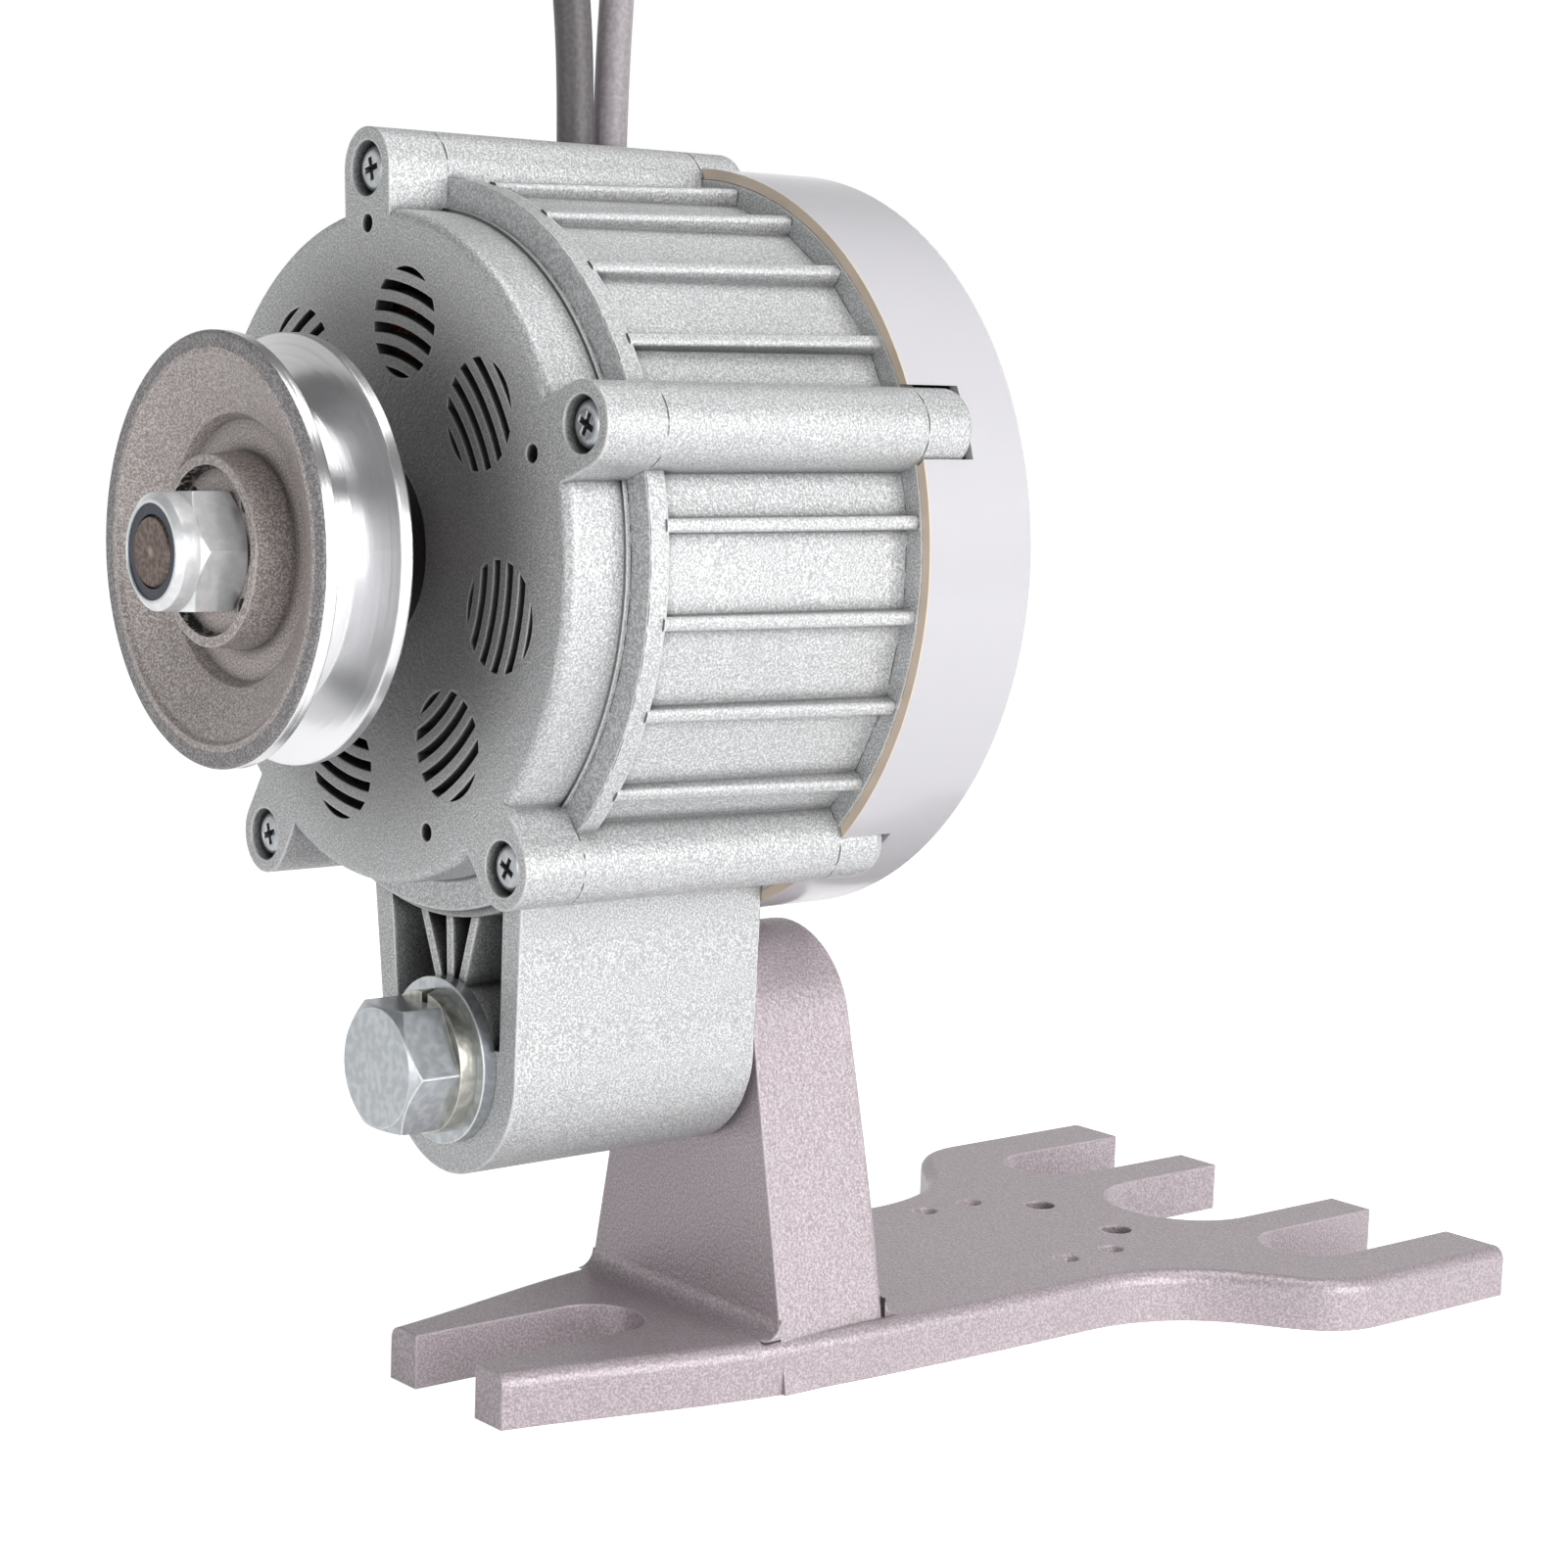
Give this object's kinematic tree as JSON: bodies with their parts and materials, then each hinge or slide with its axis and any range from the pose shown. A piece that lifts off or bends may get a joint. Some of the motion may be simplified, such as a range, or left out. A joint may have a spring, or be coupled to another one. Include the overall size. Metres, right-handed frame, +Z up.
{
  "type": "sewing machine servo motor",
  "caption": "Round finned motor with a V-belt pulley, hung on a hinge bolt over a slotted cast table bracket, with loose cables",
  "frame": {"origin": "on the bracket's underside, on its plane of symmetry, below the front face of the upright", "axes": "+Z up from the bracket's underside, +Y along the motor's axis from the pulley to the rear cover, +X to the right of the pulley face"},
  "size_m": [0.2095, 0.2666, 0.3005],
  "materials": {
    "bracket_paint": "grainy satin cast paint",
    "zinc_steel": "zinc plated",
    "washer_plastic": "smooth",
    "silver_paint": "silver sparkle paint on rough casting",
    "black_rubber": "matte",
    "white_plastic": "glossy moulding",
    "core_steel": "laminated sheet",
    "copper_wire": "enamelled wire",
    "board_green": "solder mask",
    "bearing_steel": "ground",
    "shaft_steel": "turned",
    "magnet_nickel": "nickel plated",
    "nylon_blue": "smooth",
    "disc_plastic": "smooth",
    "cable_grey": "matte",
    "plug_white": "smooth"
  },
  "bodies": {
    "bracket": {"bracket": "bracket_paint", "hinge_bolt": "zinc_steel", "spring_washer": "zinc_steel", "flat_washer": "zinc_steel", "thrust_washer": "washer_plastic", "power_cable": "cable_grey", "signal_cable": "cable_grey", "power_plug": "plug_white", "signal_plug": "plug_white"},
    "motor": {"front_bell": "silver_paint", "motor_body": "silver_paint", "rear_shield": "silver_paint", "cable_grommet": "black_rubber", "through_screws": "zinc_steel", "cover_screws": "zinc_steel", "board_screws": "zinc_steel", "rear_cover": "white_plastic", "stator_core": "core_steel", "windings": "copper_wire", "sensor_board": "board_green", "wave_washer": "zinc_steel", "front_bearing_outer": "bearing_steel", "rear_bearing_outer": "bearing_steel", "shaft_seal": "black_rubber", "power_cable_root": "cable_grey", "signal_cable_root": "cable_grey"},
    "rotor": {"shaft": "shaft_steel", "rotor_core": "core_steel", "magnets": "magnet_nickel", "pulley": "silver_paint", "pulley_key": "shaft_steel", "pulley_nut": "zinc_steel", "nut_locking_ring": "nylon_blue", "sensor_disc": "disc_plastic", "front_bearing_inner": "bearing_steel", "front_bearing_balls": "bearing_steel", "rear_bearing_inner": "bearing_steel", "rear_bearing_balls": "bearing_steel"}
  },
  "joints": [
    {"name": "motor_tilt", "type": "hinge", "parent": "bracket", "child": "motor", "pos_m": [0, -0.027, 0.06106], "axis": [0, 1, 0], "range_deg": [-22, 30]},
    {"name": "rotor_spin", "type": "hinge", "parent": "motor", "child": "rotor", "pos_m": [-0.00509, -0.04, 0.14771], "axis": [0, 1, 0], "continuous": true}
  ]
}
